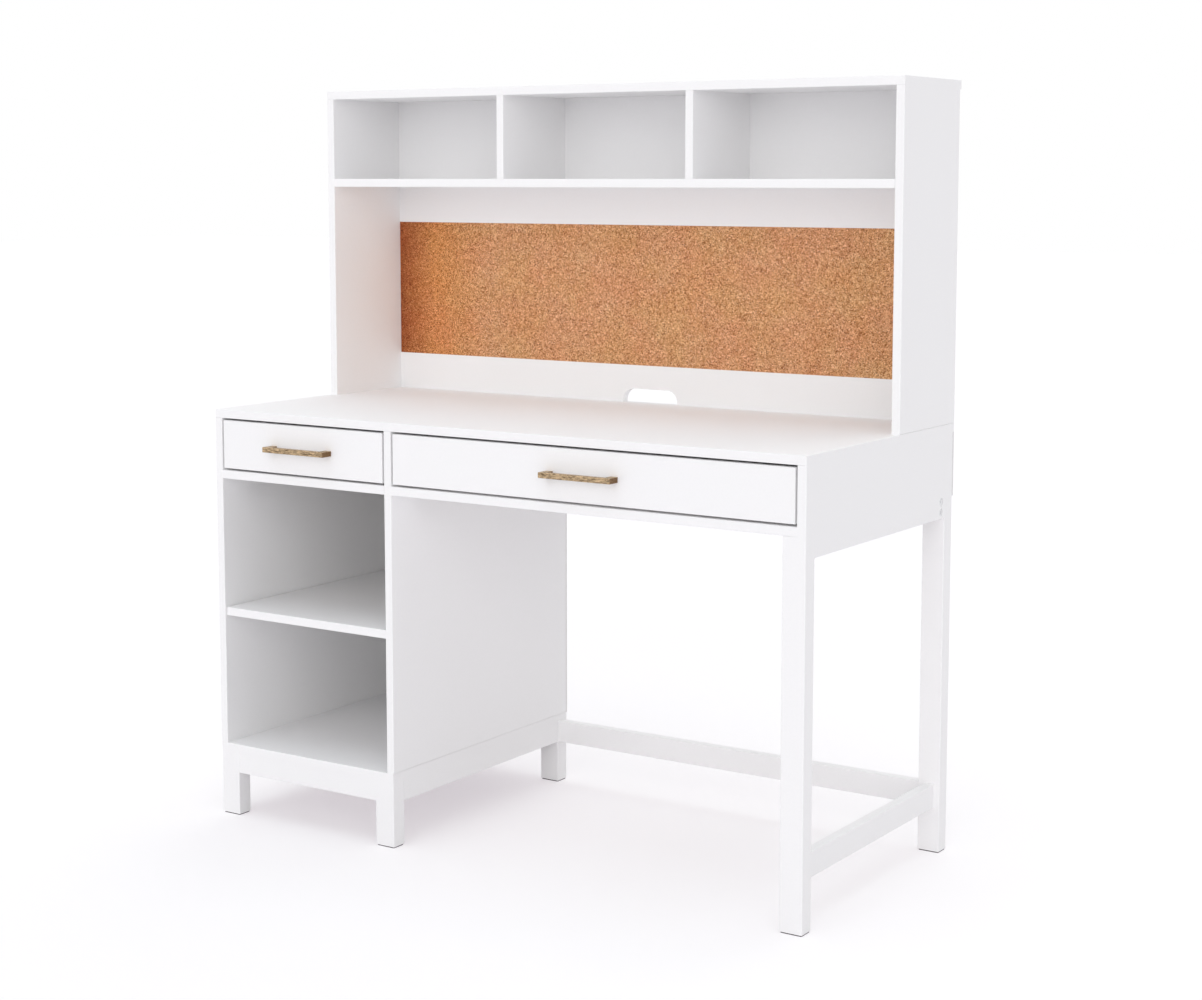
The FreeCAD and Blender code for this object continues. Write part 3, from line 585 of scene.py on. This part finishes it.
def disc_profile(radius, depth, dish):
    """A round cam or nut whose face is at 0: a raised rim with a shallow dish inside it."""
    rim = radius * RIM_INSIDE
    return [(0, -depth), (radius * BACK_RADIUS, -depth), (radius, -depth + radius * BACK_CHAMFER),
            (radius, -radius * FACE_CHAMFER), (radius * FACE_RADIUS, 0),
            (rim, 0), (rim - dish, -dish), (0, -dish)]


def slotted_discs(name, node, direction_of, slots, dish, materials):
    """Round cams or nuts with driver slots and a dot that marks the open way.

    slots are (half size along X, half size along Y, depth) with the disc's face towards +Z; the first two
    are shares of its radius."""
    matrices, (depth, _, width) = places(node, direction_of)
    radius = width / 2
    cutters = []
    for half_x, half_y, down in slots:
        outline = rectangle_outline(radius * half_x, radius * half_y)
        cutters.append(prism(outline, -down, CUT_ABOVE, SLOT_TAPER))
    ring = ring_outline(radius * DOT_RADIUS, DOT_CORNERS)
    dot = [(x + radius * DOT_RIGHT, y + radius * DOT_UP) for x, y in ring]
    cutters.append(prism(dot, -dish - DOT_DEPTH, CUT_ABOVE))
    disc = carved(turned(disc_profile(radius, depth, dish)), cutters)
    piece(name, "desk", "zinc_steel", [(disc, matrix) for matrix in matrices], materials, node)


def make_discs(materials):
    slotted_discs("slotted_cams", "cam_locks", lambda low: RIGHT if low.x < 0 else LEFT,
                  CAM_SLOTS, CAM_DISH, materials)
    slotted_discs("slotted_leg_nuts", "leg_cam_nuts", lambda low: RIGHT if low.z > KNEE_HEIGHT else LEFT,
                  LEG_NUT_SLOTS, LEG_NUT_DISH, materials)


def make_shelf_pins(materials):
    """Pins with a rounded nose, a groove where the board's face is and a tapered end in the board."""
    matrices, (length, _, width) = places(
        "shelf_pins", lambda low: RIGHT if low.x < PEDESTAL_MIDDLE else LEFT)
    radius, groove = width / 2, -length / 2
    nose = radius * PIN_NOSE
    profile = [(0, -length), (radius * PIN_END, -length), (radius, -length + nose)]
    profile += [(radius, groove - PIN_GROOVE), (radius * PIN_NECK, groove), (radius, groove + PIN_GROOVE)]
    profile.append((radius, -nose))
    for step in range(1, ARC_STEPS):
        angle = step / ARC_STEPS * math.pi / 2
        profile.append((radius - nose + nose * math.cos(angle), -nose + nose * math.sin(angle)))
    pin = turned(profile + [(radius - nose, 0), (0, 0)], PIN_AROUND)
    copies = [(pin, matrix) for matrix in matrices]
    piece("rounded_shelf_pins", "desk", "zinc_steel", copies, materials, "shelf_pins")


# ---------------------------------------------------------------- drawer runners
def round_slot(half_length, radius, steps=8):
    """The outline of a slot with round ends along X; half_length of 0 gives a hole."""
    points = []
    for side in (1, -1):
        for step in range(steps + 1):
            angle = (step / steps - 0.5) * math.pi
            points.append((side * (half_length + radius * math.cos(angle)), side * radius * math.sin(angle)))
    return points


def rolled_member(depth, height, length, steel, holes):
    """A rolled runner member along Y from 0, its web's back at x = 0 and its flanges towards +X, z about 0.

    The flanges leave the web on a round bend and end in a lip that turns in. holes are (y, half length,
    radius) of round or long holes in the web."""
    half, bend, lip = height / 2, steel * RUNNER_BEND, steel * RUNNER_LIP
    # the lip from its tip to the flange; the factors take its corner off
    lip_outside = [(depth, half - lip - steel * 0.4), (depth - steel * 0.5, half - steel * 0.2),
                   (depth - lip - steel, half)]
    lip_inside = [(depth - steel, half - lip - steel * 0.9), (depth - steel * 1.3, half - steel * 1.05),
                  (depth - lip - steel * 1.2, half - steel)]
    angles = [step / ARC_STEPS * math.pi / 2 for step in range(ARC_STEPS + 1)]
    bend_outside = [(bend - bend * math.sin(a), half - bend + bend * math.cos(a)) for a in angles]
    bend_inside = [(max(steel, x + steel), min(half - steel, z - steel)) for x, z in bend_outside]
    outside, inside = lip_outside + bend_outside, lip_inside + bend_inside
    profile = [(x, -z) for x, z in outside] + outside[::-1] + inside + [(x, -z) for x, z in inside[::-1]]
    mesh = bmesh.new()
    ends = [[mesh.verts.new((x, y, z)) for x, z in profile] for y in (0, length)]
    mesh.faces.new(ends[0])
    mesh.faces.new(ends[1][::-1])
    count = len(profile)
    for i in range(count):
        j = (i + 1) % count
        mesh.faces.new((ends[0][i], ends[0][j], ends[1][j], ends[1][i]))
    bmesh.ops.recalc_face_normals(mesh, faces=mesh.faces)
    drills = []
    for y, half_length, radius in holes:
        drill = prism(round_slot(half_length, radius), -DRILL_REACH, DRILL_REACH)
        drill.transform(Matrix.Translation((0, y, 0)) @ Matrix.Rotation(math.pi / 2, 4, "Y")
                        @ Matrix.Rotation(math.pi / 2, 4, "Z"))
        drills.append(drill)
    return carved(as_mesh(mesh), drills)


def stood_in_box(box, web_is_left):
    """The matrix that stands a rolled member in a box, with its web on the box's left or right side."""
    low, high = box
    x = low.x if web_is_left else high.x
    turn = Matrix.Identity(4) if web_is_left else Matrix.Rotation(math.pi, 4, "Z")
    y = low.y if web_is_left else high.y
    return Matrix.Translation((x, y, (low.z + high.z) / 2)) @ turn


def rolled_members(name, node, body, web_on_wall, holes, materials):
    """Rolled members in the place of a node's plain channels.

    Each pair of solids is a left one and a right one of the same drawer. web_on_wall tells on which side of
    its own box a member's web is: the side of the case wall, or that of the drawer."""
    copies = []
    for number, (low, high) in enumerate(solid_boxes(node)):
        left_wall = number % 2 == 0
        web_left = left_wall == web_on_wall
        depth, length, height = high - low
        spots = [(y if web_left else length - y, half, radius) for y, half, radius in holes]
        member = rolled_member(depth, height, length, RUNNER_STEEL, spots)
        copies.append((member, stood_in_box((low, high), web_left)))
    piece(name, body, "zinc_steel", copies, materials, node)


def make_runners(materials):
    rolled_members("rolled_outer_members", "runner_outer_members", "desk", True, OUTER_HOLES, materials)
    for drawer in DRAWERS:
        rolled_members(drawer + "_rolled_middle", drawer + "_runner_middle", drawer + "_runners", True,
                       MIDDLE_HOLES, materials)
        rolled_members(drawer + "_rolled_inner", drawer + "_runner_inner", drawer, False,
                       INNER_HOLES, materials)


# ---------------------------------------------------------------- stage
def make_camera():
    data = bpy.data.cameras.new("camera")
    data.lens = CAMERA_LENS
    data.shift_y = CAMERA_SHIFT_Y
    data.clip_end = FLOOR_SIZE
    camera = bpy.data.objects.new("camera", data)
    bpy.context.scene.collection.objects.link(camera)
    azimuth, pitch = math.radians(CAMERA_AZIMUTH), math.radians(CAMERA_PITCH)
    flat = math.cos(pitch)
    ahead = Vector((-math.sin(azimuth) * flat, math.cos(azimuth) * flat, -math.sin(pitch)))
    camera.location = CAMERA_PLACE
    camera.rotation_euler = ahead.to_track_quat("-Z", "Y").to_euler()
    bpy.context.scene.camera = camera


def seen_directly(tree):
    """1 for camera, glossy and transmission rays, and 0 for the rest."""
    path = tree.nodes.new("ShaderNodeLightPath")
    total = path.outputs["Is Camera Ray"]
    for name in ("Is Glossy Ray", "Is Transmission Ray"):
        larger = tree.nodes.new("ShaderNodeMath")
        larger.operation = "MAXIMUM"
        tree.links.new(total, larger.inputs[0])
        tree.links.new(path.outputs[name], larger.inputs[1])
        total = larger.outputs[0]
    return total


def make_floor():
    """A pale matt floor that shows nearly white and keeps the desk's soft shadow."""
    mesh = bmesh.new()
    bmesh.ops.create_grid(mesh, x_segments=1, y_segments=1, size=FLOOR_SIZE / 2)
    floor = bpy.data.objects.new("floor", as_mesh(mesh))
    bpy.context.scene.collection.objects.link(floor)
    material = bpy.data.materials.new("floor")
    material.use_nodes = True
    tree = material.node_tree
    tree.nodes.remove(tree.nodes["Principled BSDF"])
    seen = seen_directly(tree)
    colors = tree.nodes.new("ShaderNodeMix")
    colors.data_type = "RGBA"
    colors.inputs["A"].default_value = (*FLOOR_COLOR, 1)
    colors.inputs["B"].default_value = (*FLOOR_SEEN, 1)
    tree.links.new(seen, colors.inputs["Factor"])
    matt = tree.nodes.new("ShaderNodeBsdfDiffuse")
    tree.links.new(colors.outputs["Result"], matt.inputs["Color"])
    glow = tree.nodes.new("ShaderNodeEmission")
    glow.inputs["Color"].default_value = (*FLOOR_GLOW, 1)
    share = tree.nodes.new("ShaderNodeMath")
    share.operation = "MULTIPLY"
    share.inputs[1].default_value = FLOOR_GLOW_SHARE
    tree.links.new(seen, share.inputs[0])
    blend = tree.nodes.new("ShaderNodeMixShader")
    tree.links.new(share.outputs[0], blend.inputs["Fac"])
    tree.links.new(matt.outputs[0], blend.inputs[1])
    tree.links.new(glow.outputs[0], blend.inputs[2])
    tree.links.new(blend.outputs[0], tree.nodes["Material Output"].inputs["Surface"])
    floor.data.materials.append(material)


def make_sky():
    world = bpy.data.worlds.new("sky")
    bpy.context.scene.world = world
    world.use_nodes = True
    tree = world.node_tree
    sky = tree.nodes["Background"]
    sky.inputs["Color"].default_value = (1, 1, 1, 1)
    level = tree.nodes.new("ShaderNodeMapRange")
    level.inputs["To Min"].default_value = SKY_LEVEL
    level.inputs["To Max"].default_value = SKY_SEEN
    tree.links.new(seen_directly(tree), level.inputs["Value"])
    tree.links.new(level.outputs["Result"], sky.inputs["Strength"])


def make_sun(name, azimuth, elevation, level, color):
    data = bpy.data.lights.new(name, "SUN")
    data.energy = level
    data.color = color
    data.angle = math.radians(SUN_SPREAD)
    sun = bpy.data.objects.new(name, data)
    bpy.context.scene.collection.objects.link(sun)
    azimuth, elevation = math.radians(azimuth), math.radians(elevation)
    flat = math.cos(elevation)
    toward = Vector((math.sin(azimuth) * flat, -math.cos(azimuth) * flat, math.sin(elevation)))
    sun.rotation_euler = toward.to_track_quat("Z", "Y").to_euler()


# ---------------------------------------------------------------- the scene
make_camera()
make_sky()
for sun in SUNS:
    make_sun(*sun)
make_floor()
materials = make_materials()
dress_cad_nodes(materials)
make_screws(materials)
make_leg_bolts(materials)
make_discs(materials)
make_shelf_pins(materials)
make_runners(materials)
bpy.context.scene.view_settings.view_transform = "Standard"
